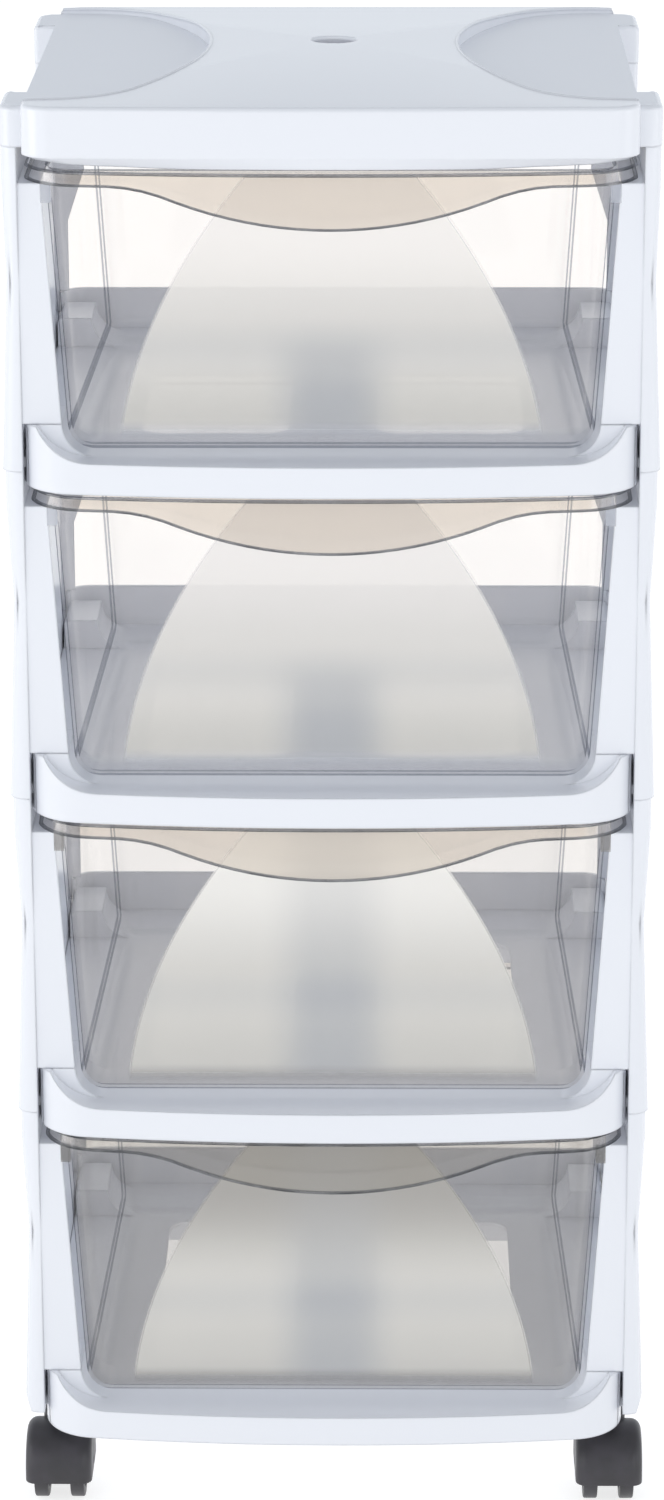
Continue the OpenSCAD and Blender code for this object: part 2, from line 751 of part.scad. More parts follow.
// Rim with its skirt all round and the lip along the front
module rim(rim_z) {
  translate([0, 0, rim_z - lip_middle]) difference() {
    linear_extrude(lip_middle) rim_plan(0);
    translate([0, 0, -cut]) linear_extrude(cut + lip_middle - drawer_wall) rim_plan(drawer_wall);
    difference() {
      translate([-bay_half, apron_y, -cut]) cube([2 * bay_half, total_d, cut + lip_middle - rim_skirt]);
      translate([0, 0, lip_middle]) upright(apron_y - cut, rim_corner_r) lip_section();
    }
  }
}

module drawer(level) {
  rim_z = seam(level - 1) - rim_drop;
  stop_x = drawer_top_w / 2 - stop_w / 2;
  stop_back = front_y + flange_set - fit_gap;
  color(clear_plastic) difference() {
    union() {
      drawer_form(level, 0, rim_z);
      rim(rim_z);
      intersection() {
        translate([0, 0, rim_z - stop_drop]) linear_extrude(stop_drop) rim_plan(0);
        both_sides() translate([stop_x, stop_back - drawer_wall, rim_z - stop_drop])
          cube([stop_w, drawer_wall, stop_drop]);
      }
    }
    drawer_form(level, drawer_wall, rim_z + cut);
  }
}

// -------------------------------------------------------------------- castors

// Moves to a castor's swivel axis on the floor
module at_castor(side, end) {
  translate([side * castor_x, castor_y(end), 0]) children();
}

// Lays a shape that stands on the origin along the axle, centred on it
module along_axle() {
  translate([0, -trail, wheel_r]) rotate([0, 90, 0]) children();
}

module castor_stem(side, end) {
  stem_foot = socket_z + fit_gap;
  color(zinc_steel) at_castor(side, end) {
    translate([0, 0, stem_foot]) cylinder(d = stem_d, h = castor_h + stem_grip - stem_foot);
    translate([0, 0, castor_h - collar_t]) cylinder(d = collar_d, h = collar_t);
  }
}

// The hood wraps both wheels, and is cut off above the floor
module castor_hood(side, end) {
  color(black_plastic) at_castor(side, end) difference() {
    intersection() {
      union() {
        along_axle() cylinder(r = hood_r, h = hood_w, center = true);
        translate([0, 0, wheel_r]) cylinder(d = neck_d, h = hood_top - wheel_r);
        translate([-hood_web, -trail, wheel_r]) cube([2 * hood_web, trail + neck_d / 2, hood_r - hood_wall]);
      }
      upright(-trail - hood_r - cut, 2 * hood_r + trail + 2 * cut) hood_front();
    }
    for (s = [-1, 1]) along_axle() translate([0, 0, s * (hood_web + well_w / 2)])
      cylinder(r = hood_r - hood_wall, h = well_w, center = true);
    along_axle() cylinder(d = axle_d + 2 * run_gap, h = hood_w + 2 * cut, center = true);
    translate([0, 0, socket_z]) cylinder(d = stem_d + 2 * run_gap, h = hood_top);
  }
}

// Front view of the hood, with rounded shoulders
module hood_front() {
  half = hood_w / 2;
  side_foot = hood_lift + hood_foot_r;
  translate([-half, side_foot]) square([2 * half, hood_top - shoulder_r - side_foot]);
  translate([hood_foot_r - half, hood_lift]) square([2 * (half - hood_foot_r), hood_top / 2]);
  translate([shoulder_r - half, hood_top / 2]) square([2 * (half - shoulder_r), hood_top / 2]);
  for (s = [-1, 1]) {
    translate([s * (half - hood_foot_r), side_foot]) circle(r = hood_foot_r);
    translate([s * (half - shoulder_r), hood_top - shoulder_r]) circle(r = shoulder_r);
  }
}

module castor_axle(side, end) {
  color(zinc_steel) at_castor(side, end) along_axle()
    cylinder(d = axle_d, h = hood_w - 2 * axle_in, center = true);
}

// Half section of a wheel: radius along x, distance from the hood's middle along y
module wheel_section() {
  bore_r = axle_d / 2 + run_gap;
  rim_r = wheel_r - tread_h;
  translate([bore_r, hub_x]) square([hub_d / 2 - bore_r, hub_w]);
  translate([hub_d / 2 - join, tread_x + (tread_w - wheel_web) / 2])
    square([rim_r - hub_d / 2 + 2 * join, wheel_web]);
  translate([rim_r, tread_x]) square([tread_h - tread_edge_r, tread_w]);
  translate([rim_r, tread_x + tread_edge_r]) square([tread_h, tread_w - 2 * tread_edge_r]);
  for (y = [tread_x + tread_edge_r, tread_x + tread_w - tread_edge_r])
    translate([wheel_r - tread_edge_r, y]) circle(r = tread_edge_r);
}

// Wheel at the place's outer (-1 left, 1 right) half of the hood
module castor_wheel(side, end, half) {
  color(black_plastic) at_castor(side, end) mirror([half < 0 ? 1 : 0, 0, 0])
    along_axle() rotate_extrude($fn = 128) wheel_section();
}

// ---------------------------------------------------------------------- nodes

lid();
side_panel(1, -1);  // left_side_1
side_panel(2, -1);  // left_side_2
side_panel(3, -1);  // left_side_3
side_panel(4, -1);  // left_side_4
side_panel(1, 1);  // right_side_1
side_panel(2, 1);  // right_side_2
side_panel(3, 1);  // right_side_3
side_panel(4, 1);  // right_side_4
shelf(1);  // shelf_1
shelf(2);  // shelf_2
shelf(3);  // shelf_3
base_shelf();
drawer(1);  // drawer_1
drawer(2);  // drawer_2
drawer(3);  // drawer_3
drawer(4);  // drawer_4
castor_stem(-1, -1);  // stem_front_left
castor_stem(1, -1);  // stem_front_right
castor_stem(-1, 1);  // stem_rear_left
castor_stem(1, 1);  // stem_rear_right
castor_hood(-1, -1);  // hood_front_left
castor_hood(1, -1);  // hood_front_right
castor_hood(-1, 1);  // hood_rear_left
castor_hood(1, 1);  // hood_rear_right
castor_axle(-1, -1);  // axle_front_left
castor_axle(1, -1);  // axle_front_right
castor_axle(-1, 1);  // axle_rear_left
castor_axle(1, 1);  // axle_rear_right
castor_wheel(-1, -1, -1);  // wheel_front_left_a
castor_wheel(-1, -1, 1);  // wheel_front_left_b
castor_wheel(1, -1, -1);  // wheel_front_right_a
castor_wheel(1, -1, 1);  // wheel_front_right_b
castor_wheel(-1, 1, -1);  // wheel_rear_left_a
castor_wheel(-1, 1, 1);  // wheel_rear_left_b
castor_wheel(1, 1, -1);  // wheel_rear_right_a
castor_wheel(1, 1, 1);  // wheel_rear_right_b
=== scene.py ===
# %% [markdown]
# # A tower of four clear drawers
# The tower is made of white stacking parts, four smoky clear drawers and four twin-wheel castors. The
# solids come from a CAD model, which says where each piece is and how it moves. This notebook loads them,
# gives each visible piece its soft edges and its finish, and sets the camera and the light.

# %% Load the solids
import json
from math import acos, asin, cos, pi, radians, sin, sqrt

import bmesh
import bpy
from mathutils import Euler, Matrix, Vector

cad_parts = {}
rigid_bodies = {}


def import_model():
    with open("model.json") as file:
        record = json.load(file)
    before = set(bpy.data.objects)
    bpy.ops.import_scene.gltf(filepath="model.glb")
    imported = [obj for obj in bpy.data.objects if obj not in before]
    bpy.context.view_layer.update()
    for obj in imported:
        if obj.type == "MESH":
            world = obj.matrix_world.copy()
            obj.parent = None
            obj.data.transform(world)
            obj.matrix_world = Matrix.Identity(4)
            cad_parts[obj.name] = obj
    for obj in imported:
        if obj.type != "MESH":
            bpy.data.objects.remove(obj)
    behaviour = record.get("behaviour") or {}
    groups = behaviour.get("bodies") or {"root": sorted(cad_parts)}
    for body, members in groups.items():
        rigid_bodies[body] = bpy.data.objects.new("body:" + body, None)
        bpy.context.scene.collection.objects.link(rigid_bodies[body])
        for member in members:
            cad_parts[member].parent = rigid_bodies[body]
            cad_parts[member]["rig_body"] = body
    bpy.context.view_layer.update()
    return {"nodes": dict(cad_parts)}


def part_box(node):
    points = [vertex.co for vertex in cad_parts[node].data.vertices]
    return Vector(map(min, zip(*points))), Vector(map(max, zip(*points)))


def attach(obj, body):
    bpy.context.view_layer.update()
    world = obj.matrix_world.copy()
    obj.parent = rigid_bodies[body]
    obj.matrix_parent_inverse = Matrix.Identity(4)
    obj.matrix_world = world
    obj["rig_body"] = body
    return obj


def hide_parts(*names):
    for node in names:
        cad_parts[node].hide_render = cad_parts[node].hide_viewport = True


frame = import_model()
nodes = frame["nodes"]
LEVELS = (1, 2, 3, 4)
SIDES = ("left", "right")
CORNERS = [f"{end}_{side}" for end in ("front", "rear") for side in SIDES]

# %% [markdown]
# ## Camera
# A product picture is taken from far away with a long lens, so that upright edges stay nearly parallel.
# This one looks down by 18 degrees, which shows the top of the lid and, through the clear fronts, the
# floors of the drawers.

# %% Place the camera
LENS = 112.98
CAMERA_AT = (0.03575, -2.82293, 1.35828)
LOOK_DOWN, LOOK_LEFT, ROLL = 0.312, 0.0134, -0.0025

camera_data = bpy.data.cameras.new("camera")
camera_data.lens = LENS
camera_data.clip_end = 50
camera = bpy.data.objects.new("camera", camera_data)
bpy.context.scene.collection.objects.link(camera)
turn = Euler((pi / 2 - LOOK_DOWN, 0, LOOK_LEFT)).to_matrix() @ Matrix.Rotation(ROLL, 3, "Z")
camera.matrix_world = Matrix.Translation(CAMERA_AT) @ turn.to_4x4()
bpy.context.scene.camera = camera
bpy.context.scene.view_settings.view_transform = "Standard"
bpy.context.scene.cycles.transparent_max_bounces = 32
print(f"camera {CAMERA_AT[2]:.2f} m above the floor, {-CAMERA_AT[1]:.2f} m in front")

# %% [markdown]
# ## Shader maths
# A material is a small graph of nodes. Written as plain sums, such as `1 - mask`, it is far easier to read.
# The class below wraps one socket, and each operator adds the Math node that does the same.


# %% Write node graphs as sums
class Value:
    """One output socket of a material, with the operators that the finishes below use."""

    def __init__(self, tree, socket):
        self.tree, self.socket = tree, socket

    def node(self, kind, inputs, output=0, **settings):
        """Adds a node of a kind, sets its settings and then its sockets, and returns one of its outputs."""
        made = self.tree.nodes.new(kind)
        for name, setting in settings.items():
            setattr(made, name, setting)
        for name, value in inputs.items():
            if isinstance(value, Value):
                self.tree.links.new(value.socket, made.inputs[name])
            else:
                made.inputs[name].default_value = value
        return Value(self.tree, made.outputs[output])

    def math(self, operation, a, b):
        """One Math node on two values or numbers."""
        return self.node("ShaderNodeMath", {0: a, 1: b}, operation=operation)

    def __add__(self, other):
        return self.math("ADD", self, other)

    def __radd__(self, other):
        return self.math("ADD", other, self)

    def __sub__(self, other):
        return self.math("SUBTRACT", self, other)

    def __rsub__(self, other):
        return self.math("SUBTRACT", other, self)

    def __mul__(self, other):
        return self.math("MULTIPLY", self, other)

    def __rmul__(self, other):
        return self.math("MULTIPLY", other, self)

    def __truediv__(self, other):
        return self.math("DIVIDE", self, other)

    def ramp(self, start, end, low=0.0, high=1.0):
        """This value, eased from low at start to high at end."""
        inputs = {"Value": self, "From Min": start, "From Max": end, "To Min": low, "To Max": high}
        return self.node("ShaderNodeMapRange", inputs, interpolation_type="SMOOTHSTEP")

    def mix(self, first, second):
        """The first colour where this value is 0, and the second where it is 1."""
        inputs = {"Factor": self, "A": first, "B": second}
        return self.node("ShaderNodeMix", inputs, output=2, data_type="RGBA")


def new_material(name):
    """An empty material, its Object coordinates and its output node."""
    material = bpy.data.materials.new(name)
    material.use_nodes = True
    material.node_tree.nodes.clear()
    tree = material.node_tree
    place = Value(tree, tree.nodes.new("ShaderNodeTexCoord").outputs["Object"])
    return material, place, tree.nodes.new("ShaderNodeOutputMaterial")


print("a Value adds its Math nodes by itself")

# %% [markdown]
# ## White polypropylene
# The frame is moulded in white polypropylene: a cool white with a soft gloss. A mould leaves a very fine
# texture, and the gloss changes a little from place to place. Noise drives both. A Bevel node rounds the
# look of sharp edges.


# %% Mix the white plastic
PLASTIC_IOR, WHITE_EDGE_R = 1.49, 0.0018


def rgba(red, green, blue):
    """A colour as a socket takes it, with nothing clear about it."""
    return (red, green, blue, 1)


def noise(place, scale, detail=2.0):
    """Soft cloudy noise round 0.5."""
    return place.node("ShaderNodeTexNoise", {"Vector": place, "Scale": scale, "Detail": detail})


def white_plastic():
    """Smooth white plastic, with edges that look rounded."""
    material, place, output = new_material("white_plastic")
    flow = noise(place, 5).ramp(0.1, 0.9)
    grain = noise(place, 900, 1.0)
    soft_edge = place.node("ShaderNodeBevel", {"Radius": WHITE_EDGE_R}, samples=4)
    bump = place.node("ShaderNodeBump", {"Strength": 0.03, "Distance": 0.0003, "Height": grain,
                                         "Normal": soft_edge})
    plastic = place.node("ShaderNodeBsdfPrincipled", {
        "Base Color": flow.mix(rgba(0.855, 0.87, 0.915), rgba(0.862, 0.876, 0.919)),
        "Roughness": flow * 0.02 + 0.255,
        "IOR": PLASTIC_IOR,
        "Coat Weight": 0.4,
        "Coat Roughness": 0.25,
        "Normal": bump,
    })
    material.node_tree.links.new(plastic.socket, output.inputs["Surface"])
    return material


def white_grain():
    """The same plastic where the mould is sparked: a little darker, and with less gloss."""
    material, place, output = new_material("white_grain")
    grain = noise(place, 1400, 2.0)
    bump = place.node("ShaderNodeBump", {"Strength": 0.15, "Distance": 0.0002, "Height": grain})
    plastic = place.node("ShaderNodeBsdfPrincipled", {
        "Base Color": noise(place, 9).mix(rgba(0.845, 0.86, 0.905), rgba(0.855, 0.87, 0.913)),
        "Roughness": grain * 0.1 + 0.4,
        "IOR": PLASTIC_IOR,
        "Normal": bump,
    })
    material.node_tree.links.new(plastic.socket, output.inputs["Surface"])
    return material


WHITE = white_plastic()
WHITE_GRAIN = white_grain()
print("made", WHITE.name, "and", WHITE_GRAIN.name)

# %% [markdown]
# ## Smoky clear plastic
# The drawers are clear with a warm, smoky tint. A Transparent shader mixed with a glossy one shows so thin
# a wall without the noise of true refraction. More is mixed in by place:
#
# - a gloss, by Fresnel, which stays weak on the side walls;
# - a painted cool grey shade on the upright folds and the round foot, for the light they bend away;
# - the frosted bell on the front, with painted light and shade for the light it spreads from behind: cream
#   on top, grey in front of the solid bar of the deck, and cream again in front of the deck's two windows;
# - a thin haze, painted streaks of shade close to the side walls, and a cloud on the two closing stops.
#
# Lower drawers look darker, because less light comes in behind them. So each level has its own tints, in
# which that shade is painted.

# %% Place the marks on the clear plastic
# the half width of the bell at a depth is BELL_TOP + BELL_WIDENS * depth + BELL_CLOSES * depth squared
BELL_TOP, BELL_WIDENS, BELL_CLOSES = 0.0355, 0.889, -2.2
# its depth is counted from a little above the rim, and it starts and ends softly
BELL_RISE, BELL_START, BELL_END = 0.012, (0.015, 0.017), (0.9, 0.985)
BELL_FADE, BORDER_W, BORDER_FADE = 0.0015, 0.0002, 0.0008
# where the front wall and the lip lie along Y, and where the stops are along X, along Y and down
FRONT_WALL, LIP_BEHIND = (-0.1665, -0.152), (-0.1675, -0.1665)
STOP_FROM, STOP_BEHIND, STOP_SPAN = (0.1600, 0.1605), (-0.1548, -0.1543), (0.0215, 0.0322)
# how far sideways the upright folds face, and how far up or down the round foot does
FOLD_TURN, FOOT_TURN = (0.93, 0.983), (-0.955, -0.78)


def band(value, start, end, fade):
    """1 where a value lies between two others, easing out over a short way past them."""
    return value.ramp(start - fade, start) * value.ramp(end, end + fade, 1, 0)


def part_of(vector, item):
    """One of the three numbers of a vector."""
    return vector.node("ShaderNodeSeparateXYZ", {"Vector": vector}, output=item)


def marks(place, low, high):
    """Where a drawer has each mark. low and high are the corners of its solid's box."""
    x, y, z = (part_of(place, item) for item in range(3))
    normal = place.node("ShaderNodeNewGeometry", {}, output=1)
    sideways, upwards = part_of(normal, 0), part_of(normal, 2)
    sideways = sideways.math("ABSOLUTE", sideways, 0)
    across = x.math("ABSOLUTE", x, 0)
    down = high.z + BELL_RISE - z
    share = (down - BELL_RISE) / (high.z - low.z)
    inside = down * down * BELL_CLOSES + down * BELL_WIDENS + BELL_TOP - across
    window = band(y, *FRONT_WALL, 0.001) * down.ramp(*BELL_START) * share.ramp(*BELL_END, 1, 0)
    below_rim = share.ramp(0.1, 0.13)
    drawn = place.node("ShaderNodeMapping", {"Vector": place, "Scale": (90, 14, 5)})
    return {
        "across": across,
        "share": share,
        "sideways": sideways,
        "bell": inside.ramp(0, BELL_FADE) * window,
        "border": band(inside, 0, BORDER_W, BORDER_FADE) * window,
        "lip": y.ramp(*LIP_BEHIND, 1, 0),
        "stop": across.ramp(*STOP_FROM) * y.ramp(*STOP_BEHIND, 1, 0) * band(down, *STOP_SPAN, 0.0003),
        "fold": band(sideways, *FOLD_TURN, 0.01) * below_rim,
        "foot": band(upwards, *FOOT_TURN, 0.03) * below_rim,
        "haze": noise(place, 14).ramp(0.35, 0.65),
        # painted streaks of shade close to the side walls
        "painted_streaks": noise(drawn, 1.0).ramp(0.5, 0.75) * across.ramp(0.13, 0.155),
    }


# %% Mix the clear plastic
# the first tint is the plastic's own; the second is painted grey shade for the folds and the foot
THIN, FOLD_SHADE_PAINTED = (0.994, 0.983, 0.973), (0.30, 0.32, 0.37)
# for each level: how much painted shade the plastic gets, the colour of that shade and of the haze, and the
# tint of the lip
LEVEL_SHADE_PAINTED = {1: 0.0, 2: 0.01, 3: 0.05, 4: 0.10}
HAZE_AND_PAINTED_SHADE = {1: (0.50, 0.53, 0.60), 2: (0.50, 0.53, 0.60), 3: (0.20, 0.19, 0.18), 4: (0.14, 0.135, 0.125)}
LIP = {1: (0.91, 0.878, 0.84), 2: (0.90, 0.868, 0.83), 3: (0.90, 0.87, 0.835), 4: (0.89, 0.88, 0.86)}
# for each level: the bell's painted light at its top and its painted shade half way down
BELL_TOP_PAINTED_LIGHT = {1: (0.93, 0.885, 0.845), 2: (0.88, 0.84, 0.81), 3: (0.93, 0.90, 0.85), 4: (0.40, 0.38, 0.35)}
BELL_MID_PAINTED_SHADE = {1: (0.75, 0.722, 0.68), 2: (0.75, 0.722, 0.68), 3: (0.675, 0.653, 0.61), 4: (0.675, 0.653, 0.61)}
# its painted light in front of the windows, and its painted shade in front of the bar between them and at
# its foot
BELL_WINDOW_PAINTED_LIGHT, BELL_BAR_PAINTED_SHADE, BELL_FOOT_PAINTED_SHADE = (0.61, 0.59, 0.55), (0.43, 0.44, 0.46), (0.50, 0.51, 0.54)
# the upper two levels get the bar's painted shade low down alone, and a thin painted grey shade over the
# foot
UPPER = (1, 2)
GLOSS_FRONT, GLOSS_SIDE, CLEAR_IOR = 0.12, 0.025, 1.45


def painted_bell_light(level, across, share):
    """The bell's painted light and shade, from its top, where the share is 0, down to its foot, where it is
    1.
    """
    upper_half = share.ramp(0.2, 0.6).mix(rgba(*BELL_TOP_PAINTED_LIGHT[level]), rgba(*BELL_MID_PAINTED_SHADE[level]))
    fade = share.ramp(0.62, 0.9).mix(upper_half, rgba(*BELL_WINDOW_PAINTED_LIGHT))
    # painted shade of the deck's bar: a column down the middle, and a band across
    column = share.ramp(0.5, 0.85) if level in UPPER else share.ramp(0.1, 0.9) * 0.6 + 0.25
    cross = share.ramp(0.52, 0.64) * share.ramp(0.64, 0.76, 1, 0) * 0.22
    shade = column * across.ramp(0.008, 0.045, 1, 0) * 0.9 + cross
    return share.ramp(0.93, 1.0, 0, 0.7).mix(shade.mix(fade, rgba(*BELL_BAR_PAINTED_SHADE)), rgba(*BELL_FOOT_PAINTED_SHADE))


def mixed(place, share, first, second):
    """The first shader where the share is 0, and the second where it is 1."""
    return place.node("ShaderNodeMixShader", {"Fac": share, 1: first, 2: second})


def tinted(place, tint):
    """A shader that only tints what is seen through it."""
    return place.node("ShaderNodeBsdfTransparent", {"Color": rgba(*tint)})


def clear_plastic(level):
    """The plastic of one level's drawer."""
    material, place, output = new_material(f"clear_plastic_{level}")
    low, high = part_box(f"drawer_{level}")
    mark = marks(place, low, high)
    wall = mixed(place, mark["lip"], tinted(place, THIN), tinted(place, LIP[level]))
    # painted grey shade on the upright folds and the round foot
    painted_fold_shade = mark["fold"].math("MAXIMUM", mark["fold"], mark["foot"]) * 0.75
    wall = mixed(place, painted_fold_shade, wall, tinted(place, FOLD_SHADE_PAINTED))
    # the bell's colour is painted light and shade
    bell_painted_colour = painted_bell_light(level, mark["across"], mark["share"])
    body = place.node("ShaderNodeBsdfPrincipled", {
        "Base Color": (mark["bell"] + mark["border"]).mix(rgba(*HAZE_AND_PAINTED_SHADE[level]), bell_painted_colour),
        "Roughness": mark["haze"] * 0.05 + 0.2,
    })
    # this mix carries the plastic's haze and the painted light and shade: the bell, the streaks and each
    # level's shade
    frost_and_painted_shade = mark["haze"] * 0.01 + mark["bell"] * 0.68 + mark["border"] * 0.2
    # the wall outside the lip gets the level's painted shade
    frost_and_painted_shade = frost_and_painted_shade + mark["stop"] * 0.4 + mark["painted_streaks"] * 0.06 + (1 - mark["lip"]) * LEVEL_SHADE_PAINTED[level]
    # the upper two levels get a thin painted grey shade over the foot
    if level in UPPER:
        frost_and_painted_shade = frost_and_painted_shade + mark["share"].ramp(0.92, 0.99, 0, 0.15)
    wall = mixed(place, frost_and_painted_shade, wall, body)
    # the side walls are seen at a low angle, where a strong gloss would hide what lies behind them
    most = mark["sideways"].ramp(0.6, 0.95, GLOSS_FRONT, GLOSS_SIDE)
    glance = place.node("ShaderNodeFresnel", {"IOR": CLEAR_IOR})
    gloss = place.node("ShaderNodeBsdfGlossy", {"Roughness": 0.06})
    plastic = mixed(place, glance.math("MINIMUM", glance, most), wall, gloss)
    material.node_tree.links.new(plastic.socket, output.inputs["Surface"])
    return material


def painted_dark_edge():
    """The cut edges and small roundings of the clear plastic, painted dark by a grey tint for the light
    they bend away.
    """
    material, place, output = new_material("painted_dark_edge")
    gloss = place.node("ShaderNodeBsdfGlossy", {"Roughness": 0.1})
    glance = place.node("ShaderNodeFresnel", {"IOR": CLEAR_IOR})
    cloud = noise(place, 40).ramp(0.3, 0.7, 0.0, 0.15)
    share = glance.math("MINIMUM", glance, 0.2) + cloud
    # the grey tint paints the edges dark
    plastic = mixed(place, share, tinted(place, (0.38, 0.39, 0.41)), gloss)
    material.node_tree.links.new(plastic.socket, output.inputs["Surface"])
    return material


CLEAR = {level: clear_plastic(level) for level in LEVELS}
EDGE_PAINTED_DARK = painted_dark_edge()
print("made", len(CLEAR), "clear plastics and one for their edges")

# %% [markdown]
# ## Black nylon and zinc
# Castors are moulded in black nylon with a fine sparked texture, which gives a grey sheen. Their stems and
# axles are zinc-plated steel: bright, with faint rings left by turning.


# %% Mix the castors' finishes
def black_plastic():
    """Sparked black nylon."""
    material, place, output = new_material("black_plastic")
    wear = noise(place, 60, 4.0).ramp(0.35, 0.7)
    grain = noise(place, 2600, 2.0)
    soft_edge = place.node("ShaderNodeBevel", {"Radius": 0.0008}, samples=4)
    bump = place.node("ShaderNodeBump", {"Strength": 0.25, "Distance": 0.0002, "Height": grain,
                                         "Normal": soft_edge})
    nylon = place.node("ShaderNodeBsdfPrincipled", {
        "Base Color": wear.mix(rgba(0.036, 0.034, 0.038), rgba(0.048, 0.044, 0.052)),
        "Roughness": wear * 0.1 + 0.36,
        "Normal": bump,
    })
    material.node_tree.links.new(nylon.socket, output.inputs["Surface"])
    return material


def zinc_steel():
    """Turned steel with a zinc plating."""
    material, place, output = new_material("zinc_steel")
    rings = place.node("ShaderNodeTexWave", {"Vector": place, "Scale": 400.0, "Distortion": 0.4},
                       output=1, bands_direction="Z")
    steel = place.node("ShaderNodeBsdfPrincipled", {
        "Base Color": rgba(0.62, 0.63, 0.65),
        "Metallic": 1.0,
        "Roughness": rings * 0.1 + 0.25,
    })
    material.node_tree.links.new(steel.socket, output.inputs["Surface"])
    return material


BLACK = black_plastic()
ZINC = zinc_steel()
print("made", BLACK.name, "and", ZINC.name)

# %% [markdown]
# ## Smooth copies of the white solids
# The CAD model's meshes come as many small flat facets, which show along the bowed and lofted surfaces. A
# copy of such a mesh is merged, so that its facets share their corners, and then shaded smooth wherever
# they meet at a small angle.


# %% Merge and smooth a copy of a solid
APRON_Y, BOW_R, SHELF_WALL = -0.1845, 1.2, 0.0025
BOWED_HALF, BOW_SLACK, BOW_STEP, MERGE = 0.149, 0.0003, 0.01, 0.00001


def only(piece):
    """Selects one object, and makes it the active one."""
    bpy.ops.object.select_all(action="DESELECT")
    piece.select_set(True)
    bpy.context.view_layer.objects.active = piece


def bowed(co, inset):
    """How far a point stands out in front of the true bow of a shelf, or -1 past the bow's ends."""
    bow = BOW_R - inset
    return APRON_Y + inset + bow - sqrt(bow * bow - co.x * co.x) - co.y if abs(co.x) < BOWED_HALF else -1


def true_bow(piece):
    """Cuts a bowed front's facets into narrow ones, and sets them and what juts out on the true bow."""
    mesh = bmesh.from_edit_mesh(piece.data)
    seams = sorted({round(v.co.x, 4) for v in mesh.verts if abs(bowed(v.co, 0)) < BOW_SLACK})
    for start, end in zip(seams, seams[1:]):
        parts = max(1, round((end - start) / BOW_STEP))
        for i in range(1, parts):
            bpy.ops.mesh.select_all(action="SELECT")
            bpy.ops.mesh.bisect(plane_co=(start + (end - start) * i / parts, 0, 0), plane_no=(1, 0, 0))
    mesh = bmesh.from_edit_mesh(piece.data)
    for v in mesh.verts:
        if bowed(v.co, 0) > -BOW_SLACK:
            v.co.y += bowed(v.co, 0)
        elif abs(bowed(v.co, SHELF_WALL)) < BOW_SLACK:
            v.co.y += bowed(v.co, SHELF_WALL)
    bmesh.update_edit_mesh(piece.data)
    bpy.ops.mesh.select_all(action="SELECT")
    bpy.ops.mesh.remove_doubles(threshold=MERGE)


def shade(piece, smooth):
    """Smooths all edges up to an angle in degrees. Large faces keep their own normals and stay flat."""
    only(piece)
    bpy.ops.object.shade_smooth_by_angle(angle=radians(smooth))
    step = piece.modifiers.new("large_faces_first", "WEIGHTED_NORMAL")
    step.keep_sharp, step.weight = True, 90
    bpy.ops.object.modifier_apply(modifier=step.name)


def smooth_copy(node, name):
    """A merged and smoothed copy of a solid, which then stands for it."""
    body = nodes[node]["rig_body"]
    piece = bpy.data.objects.new(name, nodes[node].data.copy())
    bpy.context.scene.collection.objects.link(piece)
    only(piece)
    bpy.ops.mesh.customdata_custom_splitnormals_clear()
    bpy.ops.object.mode_set(mode="EDIT")
    bpy.ops.mesh.select_all(action="SELECT")
    bpy.ops.mesh.remove_doubles(threshold=MERGE)
    bpy.ops.mesh.dissolve_limited(angle_limit=radians(0.06))
    if "shelf" in node:
        true_bow(piece)
    bpy.ops.object.mode_set(mode="OBJECT")
    shade(piece, 30)
    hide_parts(node)
    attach(piece, body)
    return piece


def dress(piece, material):
    """Gives a new piece its only material."""
    piece.data.materials.clear()
    piece.data.materials.append(material)


panels = [f"{side}_side_{level}" for side in SIDES for level in LEVELS]
for node in ["lid", "shelf_1", "shelf_2", "shelf_3", "base_shelf", *panels]:
    dress(smooth_copy(node, f"{node}_smooth"), WHITE)
print("copied the lid, 4 shelves and", len(panels), "side panels")

# %% [markdown]
# ## The lid's two scoops
# Each scoop has a sparked floor without gloss, and a fine bead runs along its upper edge. The bead follows
# edges that the mesh already has: they are copied to an object of their own, which becomes a curve with a
# round section, and then a mesh again.

# %% Grain the scoops and lay their beads
# the height of a scoop's floor, and how far from the middle the scoops begin and end
SCOOP_Z, SCOOP_IN, SCOOP_OUT, SCOOP_SLACK, BEAD_R = 0.8843, 0.07, 0.17, 0.0004, 0.0009


def runs_round_scoop(edge):
    """True for an edge between the crowned top and the upright wall of a scoop."""
    tilts = sorted(abs(face.normal.z) for face in edge.link_faces)
    outside = min(abs(v.co.x) for v in edge.verts) > SCOOP_IN
    above = min(v.co.z for v in edge.verts) > SCOOP_Z + SCOOP_SLACK / 2
    return outside and above and tilts[0] < 0.2 and tilts[-1] > 0.9


lid = bpy.data.objects["lid_smooth"]
lid.data.materials.append(WHITE_GRAIN)
for face in lid.data.polygons:
    level_floor = face.normal.z > 0.99 and abs(face.center.z - SCOOP_Z) < SCOOP_SLACK
    if level_floor and abs(face.center.x) < SCOOP_OUT:
        face.material_index = 1
bead = bpy.data.objects.new("bead", lid.data.copy())
bpy.context.scene.collection.objects.link(bead)
only(bead)
bpy.ops.object.mode_set(mode="EDIT")
mesh = bmesh.from_edit_mesh(bead.data)
chain = [edge for edge in mesh.edges if runs_round_scoop(edge)]
bmesh.ops.delete(mesh, geom=[edge for edge in mesh.edges if edge not in set(chain)], context="EDGES")
bmesh.update_edit_mesh(bead.data)
bpy.ops.object.mode_set(mode="OBJECT")
bpy.ops.object.convert(target="CURVE")
bead.data.bevel_depth, bead.data.bevel_resolution, bead.data.use_fill_caps = BEAD_R, 2, True
bpy.ops.object.convert(target="MESH")
bead.data.materials.clear()
bead.data.materials.append(WHITE)
bpy.ops.object.shade_smooth()
lid.select_set(True)
bpy.context.view_layer.objects.active = lid
bpy.ops.object.join()
print(len(chain), "edges carry the beads of the two scoops")

